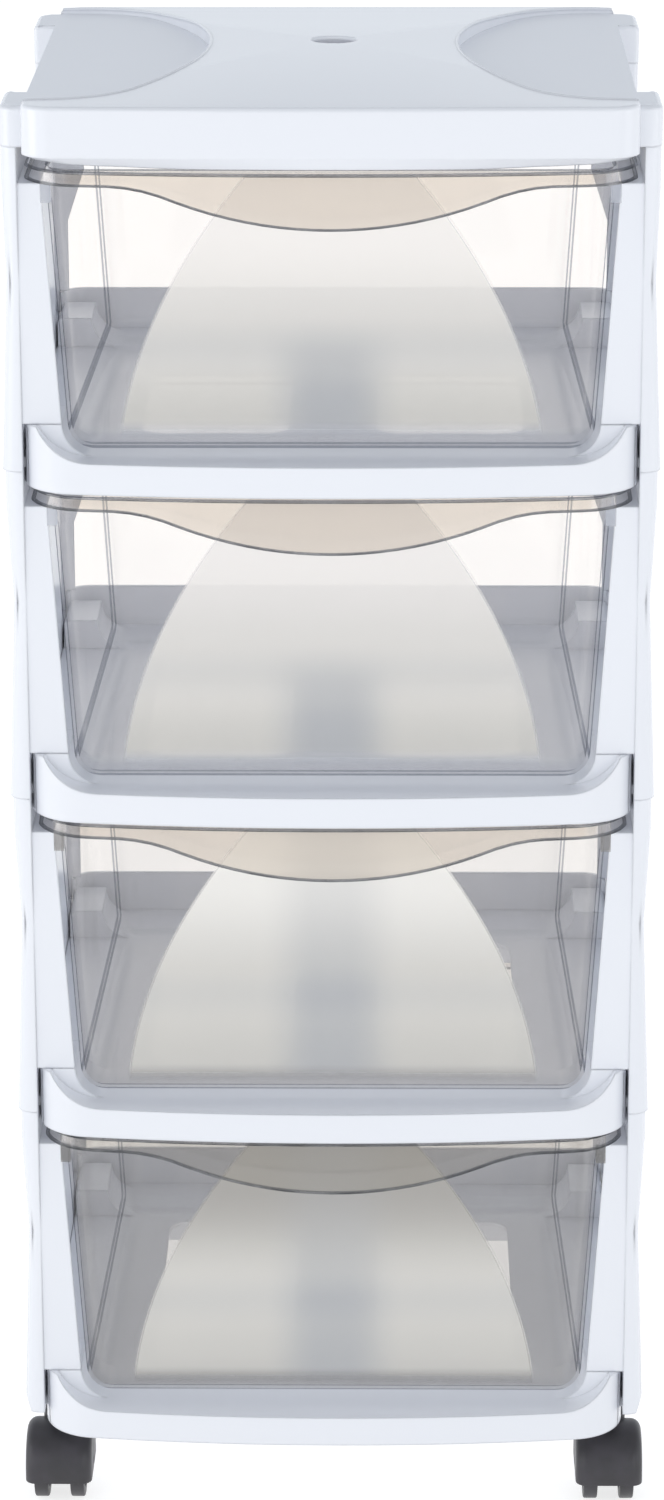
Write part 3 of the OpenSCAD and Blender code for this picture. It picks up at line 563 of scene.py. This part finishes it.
# %% [markdown]
# ## Clear drawers
# A drawer is one thin injection moulding: a tub with a round bottom edge, a flat rim that hangs on the
# runners, a short skirt round it and a deep lip at the front. A thin moulding is easiest to model as a
# single sheet, the side that faces up and out, which then gets its thickness at once.
#
# The tub starts as a box without its top. Cuts along its width give the front enough points for the bow of
# the rim and the curve of the lip. Its measures are in metres, and down is counted from the rim.

# %% Measure the drawers
WALL = 0.0022
TAPER_SIDE, TAPER_REAR = 0.011, 0.008
TUB_HALF, TUB_FRONT, TUB_BACK = 0.165, -0.1635, 0.1425
FRONT_RAKE, BACK_RAKE = 0.004, 0.005
UPRIGHT_R, FLOOR_R = 0.016, 0.015
RIM_HALF, LIP_Y, RIM_BACK = 0.1775, -0.1795, 0.1495
RIM_FRONT_R, RIM_REAR_R = 0.036, 0.016
SKIRT, LIP_DEEP, LIP_ARC, LIP_RUN = 0.009, 0.033, 0.26, 0.1
CORNER_STEPS, CUT_STEP, CUTS = 6, 0.01, 13
# how much of the skirt and the lip along the cut edge gets the painted dark edge material
EDGE_DEEP = 0.0012
# the clear tub hangs a little deeper than its solid, close above the deck
FLOOR_DROP = 0.0045


def bow_y(x):
    """How far back the bowed front of the rim is at x."""
    return LIP_Y + BOW_R - sqrt(BOW_R * BOW_R - x * x)


def lip_drop(x):
    """How deep the lip is at x: a wide arc in the middle, that runs out in a small arc on each side."""
    reach = LIP_ARC + LIP_RUN
    run_x = sqrt(reach * reach - (reach - LIP_DEEP + SKIRT) ** 2)
    meet_x = run_x * LIP_ARC / reach
    x = abs(x)
    if x < meet_x:
        return LIP_DEEP - LIP_ARC + sqrt(LIP_ARC * LIP_ARC - x * x)
    if x < run_x:
        return SKIRT + LIP_RUN - sqrt(LIP_RUN * LIP_RUN - (run_x - x) ** 2)
    return SKIRT


def edit_mesh(piece):
    """The mesh that is open in edit mode, with its lists ready."""
    mesh = bmesh.from_edit_mesh(piece.data)
    for part in (mesh.verts, mesh.edges, mesh.faces):
        part.ensure_lookup_table()
    return mesh


def pick(piece, kind, test):
    """Selects only the vertices, edges or faces that pass a test, and returns how many did."""
    bpy.ops.mesh.select_mode(type=kind)
    bpy.ops.mesh.select_all(action="DESELECT")
    mesh = edit_mesh(piece)
    parts = {"VERT": mesh.verts, "EDGE": mesh.edges, "FACE": mesh.faces}[kind]
    found = [part for part in parts if test(part)]
    for part in found:
        part.select_set(True)
    mesh.select_flush_mode()
    bmesh.update_edit_mesh(piece.data)
    return len(found)


def at_z(part, z, slack=0.0001):
    """True if a whole edge or face lies at that height."""
    return all(abs(v.co.z - z) < slack for v in part.verts)


# %% Shape the tub
def tub(rim_z, floor_z):
    """The inside of a drawer's tub as an open sheet."""
    half, front, back = TUB_HALF - WALL, TUB_FRONT + WALL, TUB_BACK - WALL
    middle = ((front + back) / 2, (rim_z + floor_z) / 2)
    bpy.ops.object.select_all(action="DESELECT")
    bpy.ops.mesh.primitive_cube_add(size=1, location=(0, *middle),
                                    scale=(2 * half, back - front, rim_z - floor_z))
    piece = bpy.context.object
    bpy.ops.object.transform_apply(location=True, rotation=False, scale=True)
    bpy.ops.object.mode_set(mode="EDIT")
    pick(piece, "FACE", lambda f: f.normal.z > 0.9)
    bpy.ops.mesh.delete(type="ONLY_FACE")
    pick(piece, "VERT", lambda v: v.co.z < middle[1])
    bpy.ops.transform.resize(value=((half - TAPER_SIDE) / half, 1, 1), center_override=(0, *middle))
    pick(piece, "VERT", lambda v: v.co.y > 0)
    bpy.ops.transform.resize(value=((half - TAPER_REAR) / half, 1, 1), center_override=(0, *middle))
    pick(piece, "VERT", lambda v: v.co.z < middle[1] and v.co.y < 0)
    bpy.ops.transform.translate(value=(0, FRONT_RAKE, 0))
    pick(piece, "VERT", lambda v: v.co.z < middle[1] and v.co.y > 0)
    bpy.ops.transform.translate(value=(0, -BACK_RAKE, 0))
    pick(piece, "EDGE", lambda e: abs(e.verts[0].co.z - e.verts[1].co.z) > 0.05)
    bpy.ops.mesh.bevel(offset=UPRIGHT_R - WALL, segments=CORNER_STEPS, affect="EDGES")
    pick(piece, "EDGE", lambda e: at_z(e, floor_z) and len(e.link_faces) == 2)
    bpy.ops.mesh.bevel(offset=FLOOR_R - WALL, segments=CORNER_STEPS, affect="EDGES")
    for i in range(-CUTS, CUTS + 1):
        bpy.ops.mesh.select_all(action="SELECT")
        bpy.ops.mesh.bisect(plane_co=(i * CUT_STEP, 0, 0), plane_no=(1, 0, 0))
    return piece


# %% Pull out the rim and the lip
def on_rim(co):
    """Where a point of the tub's upper edge goes on the rim's outline."""
    side = 1 if co.x > 0 else -1
    front, back = TUB_FRONT + WALL, TUB_BACK - WALL
    corner_r = UPRIGHT_R - WALL
    half = TUB_HALF - WALL - (0 if co.y < 0 else TAPER_REAR)
    across = min(max((abs(co.x) - (half - corner_r)) / corner_r, 0), 1)
    rim_r = RIM_FRONT_R if co.y < 0 else RIM_REAR_R
    centre = RIM_HALF - rim_r
    lean = asin(centre / (BOW_R - rim_r)) if co.y < 0 else 0
    straight = BOW_R * sin(lean) if co.y < 0 else centre
    if across < 0.001:
        x = co.x * straight / (half - corner_r)
        return x, bow_y(x) if co.y < 0 else RIM_BACK
    turn = acos(across) * (1 - lean / (pi / 2))
    if co.y < 0:
        centre_y = LIP_Y + BOW_R - (BOW_R - rim_r) * cos(lean)
        return side * (centre + rim_r * cos(turn)), centre_y - rim_r * sin(turn)
    return side * (centre + rim_r * cos(turn)), RIM_BACK - rim_r + rim_r * sin(turn)


def rim(piece, rim_z):
    """Pulls the tub's upper edge out to the rim's outline, and down as the skirt and the lip."""
    pick(piece, "EDGE", lambda e: at_z(e, rim_z) and len(e.link_faces) == 1)
    bpy.ops.mesh.extrude_edges_move()
    mesh = edit_mesh(piece)
    for v in [v for v in mesh.verts if v.select]:
        v.co.x, v.co.y = on_rim(v.co)
    bmesh.update_edit_mesh(piece.data)
    bpy.ops.mesh.extrude_edges_move(TRANSFORM_OT_translate={"value": (0, 0, EDGE_DEEP - SKIRT)})
    mesh = edit_mesh(piece)
    for v in [v for v in mesh.verts if v.select and v.co.y < LIP_Y + RIM_FRONT_R]:
        v.co.z = rim_z + EDGE_DEEP - lip_drop(v.co.x)
    bmesh.update_edit_mesh(piece.data)
    bpy.ops.mesh.extrude_edges_move(TRANSFORM_OT_translate={"value": (0, 0, -EDGE_DEEP)})
    mesh = edit_mesh(piece)
    # the strip along the cut edge gets the painted dark edge material
    for face in [face for edge in mesh.edges if edge.select for face in edge.link_faces]:
        face.material_index = 1
    bmesh.update_edit_mesh(piece.data)


# %% Give it its thickness and its soft edges
FOLD_R, EDGE_R = 0.0016, 0.0008
STOP_X, STOP_W, STOP_DEEP, STOP_Y = 0.1637, 0.0059, 0.0205, -0.1573


def round_edges(piece, width):
    """Rounds every edge that is sharper than 50 degrees, and gives the roundings the second material."""
    only(piece)
    step = piece.modifiers.new("soft_edges", "BEVEL")
    step.width, step.segments, step.limit_method, step.angle_limit = width, 2, "ANGLE", radians(50)
    step.material = 1
    bpy.ops.object.modifier_apply(modifier=step.name)


def stops(rim_z):
    """The two closing stops under the rim, added to the drawer that is open in edit mode."""
    for side in (-1, 1):
        bpy.ops.mesh.primitive_cube_add(
            size=1, location=(side * STOP_X, STOP_Y - WALL / 2, rim_z - (STOP_DEEP + WALL / 2) / 2),
            scale=(STOP_W, WALL, STOP_DEEP - WALL / 2))


def drawer(name, rim_z, floor_z, materials):
    """A whole drawer: tub, rim and lip as one wall. The materials are for its faces and for its edges."""
    piece = tub(rim_z, floor_z + WALL)
    piece.name = piece.data.name = name
    for material in materials:
        piece.data.materials.append(material)
    rim(piece, rim_z)
    folds = pick(piece, "EDGE", lambda e: at_z(e, rim_z) and abs(e.calc_face_angle_signed(0)) > radians(45))
    bpy.ops.mesh.bevel(offset=FOLD_R, segments=4, affect="EDGES", material=1)
    bpy.ops.mesh.select_all(action="SELECT")
    bpy.ops.mesh.remove_doubles(threshold=2 * MERGE)
    bpy.ops.mesh.normals_make_consistent(inside=False)
    up = sum(f.normal.z > 0.9 for f in edit_mesh(piece).faces if f.calc_center_median().z < floor_z + 0.01)
    if not up:
        bpy.ops.mesh.flip_normals()
    bpy.ops.object.mode_set(mode="OBJECT")
    step = piece.modifiers.new("wall", "SOLIDIFY")
    step.thickness, step.offset, step.use_even_offset = WALL, -1, True
    step.material_offset_rim = 1
    only(piece)
    bpy.ops.object.modifier_apply(modifier=step.name)
    bpy.ops.object.mode_set(mode="EDIT")
    stops(rim_z)
    bpy.ops.object.mode_set(mode="OBJECT")
    round_edges(piece, EDGE_R)
    shade(piece, 35)
    print(name, folds, "folded edges,", len(piece.data.polygons), "faces")
    return piece


for level in LEVELS:
    low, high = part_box(f"drawer_{level}")
    piece = drawer(f"drawer_{level}_clear", high.z, low.z - FLOOR_DROP, (CLEAR[level], EDGE_PAINTED_DARK))
    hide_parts(f"drawer_{level}")
    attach(piece, f"drawer_{level}")
    piece.visible_shadow = piece.visible_diffuse = False

# %% [markdown]
# ## Castors
# A twin-wheel castor is a hood over two wheels that share one axle. The hood is a barrel on its side, with
# round shoulders, cut open above the floor and hollowed for each wheel. Behind the barrel stands the neck,
# in which the steel stem turns. The barrel is a cylinder with bevelled ends, the cut is a bisect, and the
# hollows are Booleans.

# %% Measure the castors
HOOD_R, HOOD_W, SHOULDER = 0.027, 0.0415, 0.0065
HOOD_LIFT, HOOD_WALL, HOOD_WEB = 0.019, 0.0025, 0.0063
NECK_R, NECK_TOP, NECK_EDGE_R, TRAIL = 0.011, 0.0535, 0.0008, 0.012
STEM_HOLE_R, STEM_HOLE_FOOT, AXLE_HOLE_R = 0.00405, 0.028, 0.00255
# how far a tool reaches past what it cuts
PAST = 0.01


def cylinder(name, at, radius, depth, along="Z", sides=64):
    """A cylinder as a new object, with its ends closed."""
    bpy.ops.object.select_all(action="DESELECT")
    turn = (0, pi / 2, 0) if along == "X" else (0, 0, 0)
    bpy.ops.mesh.primitive_cylinder_add(vertices=sides, radius=radius, depth=depth, location=at,
                                        rotation=turn)
    piece = bpy.context.object
    piece.name = piece.data.name = name
    bpy.ops.object.transform_apply(location=True, rotation=True, scale=True)
    return piece


def combine(piece, tool, operation):
    """Cuts a tool from a piece or joins it on, and takes the tool away."""
    only(piece)
    step = piece.modifiers.new("combine", "BOOLEAN")
    step.object, step.operation, step.solver = tool, operation, "EXACT"
    bpy.ops.object.modifier_apply(modifier=step.name)
    bpy.data.objects.remove(tool)


# %% Shape the hood
def barrel_and_neck(name, x, y, z):
    """The hood before it is cut: a barrel with round shoulders and the neck behind it."""
    piece = cylinder(name, (x, y, z), HOOD_R, HOOD_W, "X", 96)
    bpy.ops.object.mode_set(mode="EDIT")
    pick(piece, "EDGE", lambda e: len({round(v.co.x, 5) for v in e.verts}) == 1)
    bpy.ops.mesh.bevel(offset=SHOULDER, segments=6, affect="EDGES")
    bpy.ops.object.mode_set(mode="OBJECT")
    neck_foot = z + HOOD_R / 3
    neck = cylinder("neck", (x, y + TRAIL, (NECK_TOP + neck_foot) / 2), NECK_R, NECK_TOP - neck_foot)
    only(neck)
    bpy.ops.object.mode_set(mode="EDIT")
    pick(neck, "EDGE", lambda e: at_z(e, NECK_TOP))
    bpy.ops.mesh.bevel(offset=NECK_EDGE_R, segments=2, affect="EDGES")
    bpy.ops.object.mode_set(mode="OBJECT")
    combine(piece, neck, "UNION")
    return piece


def hood(name, x, y, z):
    """A castor's hood, with the middle of its axle at x, y, z."""
    piece = barrel_and_neck(name, x, y, z)
    only(piece)
    bpy.ops.object.mode_set(mode="EDIT")
    bpy.ops.mesh.select_all(action="SELECT")
    bpy.ops.mesh.bisect(plane_co=(0, 0, HOOD_LIFT), plane_no=(0, 0, 1), clear_inner=True, use_fill=True)
    bpy.ops.object.mode_set(mode="OBJECT")
    well = HOOD_W / 2 - HOOD_WALL - HOOD_WEB
    for side in (-1, 1):
        centre = x + side * (HOOD_WEB + well / 2)
        tool = cylinder("well", (centre, y, z), HOOD_R - HOOD_WALL, well, "X", 96)
        combine(piece, tool, "DIFFERENCE")
    combine(piece, cylinder("axle_hole", (x, y, z), AXLE_HOLE_R, HOOD_W + PAST, "X", 24), "DIFFERENCE")
    top = NECK_TOP + PAST
    middle = (x, y + TRAIL, (STEM_HOLE_FOOT + top) / 2)
    combine(piece, cylinder("stem_hole", middle, STEM_HOLE_R, top - STEM_HOLE_FOOT, sides=32), "DIFFERENCE")
    only(piece)
    bpy.ops.object.shade_smooth_by_angle(angle=radians(32))
    return piece


# %% [markdown]
# ## Wheels
# A wheel is a turned shape, so half of its section is drawn once and spun round the axle. The tread is
# rounded at both edges, and a thin web with a raised ring carries it on the hub.

# %% Spin a wheel
WHEEL_R = 0.023
# radius and distance from the hood's middle, in millimetres
WHEEL_SECTION = [
    (2.55, 6.6), (7.0, 6.6), (7.5, 7.1), (7.5, 9.2), (8.2, 9.6), (11.4, 9.6), (11.9, 9.1), (12.7, 9.1),
    (13.2, 9.6), (16.3, 9.6), (17.0, 8.9), (17.0, 7.4), (17.5, 6.9), (22.0, 6.9), (22.7, 7.2), (23.0, 7.9),
    (23.0, 14.6), (22.7, 15.3), (22.0, 15.6), (17.5, 15.6), (17.0, 15.1), (17.0, 13.9), (16.3, 12.9),
    (13.2, 12.9), (12.7, 13.4), (11.9, 13.4), (11.4, 12.9), (8.2, 12.9), (7.5, 13.4), (7.5, 17.4),
    (7.0, 17.9), (2.55, 17.9),
]


def wheel(name, x, y, z, side):
    """A wheel whose axle runs along X through y, z, on one side of the hood's middle x."""
    bpy.ops.object.select_all(action="DESELECT")
    bpy.ops.mesh.primitive_circle_add(vertices=len(WHEEL_SECTION), radius=WHEEL_R, location=(0, 0, 0))
    piece = bpy.context.object
    piece.name = piece.data.name = name
    for vertex, (radius, across) in zip(piece.data.vertices, WHEEL_SECTION):
        vertex.co = (x + side * across / 1000, y, z + radius / 1000)
    bpy.ops.object.mode_set(mode="EDIT")
    bpy.ops.mesh.select_all(action="SELECT")
    bpy.ops.mesh.spin(steps=72, angle=2 * pi, center=(x, y, z), axis=(1, 0, 0))
    bpy.ops.mesh.select_all(action="SELECT")
    bpy.ops.mesh.remove_doubles(threshold=MERGE)
    bpy.ops.mesh.normals_make_consistent(inside=False)
    bpy.ops.object.mode_set(mode="OBJECT")
    bpy.ops.object.shade_smooth_by_angle(angle=radians(35))
    return piece


for corner in CORNERS:
    low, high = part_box(f"axle_{corner}")
    middle = (low + high) / 2
    piece = hood(f"hood_{corner}_black", *middle)
    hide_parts(f"hood_{corner}")
    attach(piece, f"castor_{corner}")
    dress(piece, BLACK)
    for half, side in (("a", -1), ("b", 1)):
        piece = wheel(f"wheel_{corner}_{half}_black", *middle, side)
        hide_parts(f"wheel_{corner}_{half}")
        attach(piece, f"wheel_{corner}_{half}")
        dress(piece, BLACK)

# %% Finish the solids that stay as they are
kept = [node for node in nodes.values() if not node.hide_render]
for piece in kept:
    piece.data.materials.clear()
    piece.data.materials.append(ZINC)
print(len(kept), "steel pieces keep their own mesh")

# %% [markdown]
# ## Floor and light
# The picture has a white ground and a soft, even light. A pale floor takes the shadow, and is white to the
# camera by itself. The world is white for the camera and for what mirrors or passes it, and a dimmer, even
# light for the rest.


# %% Lay the floor
FLOOR_SIZE, FLOOR_Z = 30, -0.0002


def white_to_camera(tree):
    """1 for rays that see the ground itself, in a mirror or through clear plastic."""
    rays = tree.nodes.new("ShaderNodeLightPath")
    seen = Value(tree, rays.outputs["Is Camera Ray"])
    for name in ("Is Glossy Ray", "Is Transmission Ray"):
        seen = seen.math("MAXIMUM", seen, Value(tree, rays.outputs[name]))
    return seen


def pale_floor():
    """A grey floor that takes the shadow, with a glow that makes it white."""
    bpy.ops.object.select_all(action="DESELECT")
    bpy.ops.mesh.primitive_plane_add(size=FLOOR_SIZE, location=(0, 0, FLOOR_Z))
    floor = bpy.context.object
    floor.name = "floor"
    material, place, output = new_material("pale_floor")
    seen = white_to_camera(material.node_tree)
    matt = place.node("ShaderNodeBsdfDiffuse", {"Color": rgba(0.5, 0.5, 0.5)})
    glow = place.node("ShaderNodeEmission", {"Color": rgba(1, 1, 1), "Strength": seen * 0.2 + 0.55})
    both = place.node("ShaderNodeAddShader", {0: matt, 1: glow})
    material.node_tree.links.new(both.socket, output.inputs["Surface"])
    floor.data.materials.append(material)


def white_world():
    """White to the camera and to glass. The rest sees a bright wall behind, and a dimmer, cooler room."""
    world = bpy.data.worlds.new("white_world")
    bpy.context.scene.world = world
    world.use_nodes = True
    tree = world.node_tree
    rays = tree.nodes.new("ShaderNodeLightPath")
    glossy = Value(tree, rays.outputs["Is Glossy Ray"])
    way = Value(tree, tree.nodes.new("ShaderNodeTexCoord").outputs["Generated"])
    behind, up = part_of(way, 1), part_of(way, 2)
    # soft light from everywhere, and more of it from low down behind
    soft = up.ramp(0.1, 0.7, 0.66, 0.60) + behind.ramp(0.0, 0.6) * up.ramp(0.2, 0.7, 0.8, 0.15)
    # what gloss mirrors: white low down, as the ground is, and dimmer overhead
    mirrored = up.ramp(0.22, 0.55, 1.0, 0.5)
    strength = soft + glossy * (mirrored - soft)
    seen = Value(tree, rays.outputs["Is Camera Ray"])
    seen = seen.math("MAXIMUM", seen, Value(tree, rays.outputs["Is Transmission Ray"]))
    background = tree.nodes["Background"]
    tree.links.new(seen.mix(rgba(0.90, 0.945, 1.0), rgba(1, 1, 1)).socket, background.inputs["Color"])
    tree.links.new((seen + (1 - seen) * strength).socket, background.inputs["Strength"])


pale_floor()
white_world()
print("floor and world are in place")


# %% Hang the lamps
MIDDLE = (0, 0, 0.4)


def lamp(name, at, size, watts):
    """A large soft area lamp that points at the middle of the tower."""
    data = bpy.data.lights.new(name, "AREA")
    data.shape, data.size, data.energy = "SQUARE", size, watts
    piece = bpy.data.objects.new(name, data)
    bpy.context.scene.collection.objects.link(piece)
    aim = (Vector(MIDDLE) - Vector(at)).to_track_quat("-Z", "Y")
    piece.matrix_world = Matrix.Translation(at) @ aim.to_matrix().to_4x4()


lamp("lamp_front_left", (-1.9, -3.1, 1.5), 1.6, 15)
lamp("lamp_front_right", (1.9, -3.1, 1.5), 1.6, 13)
lamp("lamp_left", (-2.6, -0.8, 0.9), 1.4, 12)
lamp("lamp_right", (2.6, -0.8, 0.9), 1.4, 5)
print("four lamps")
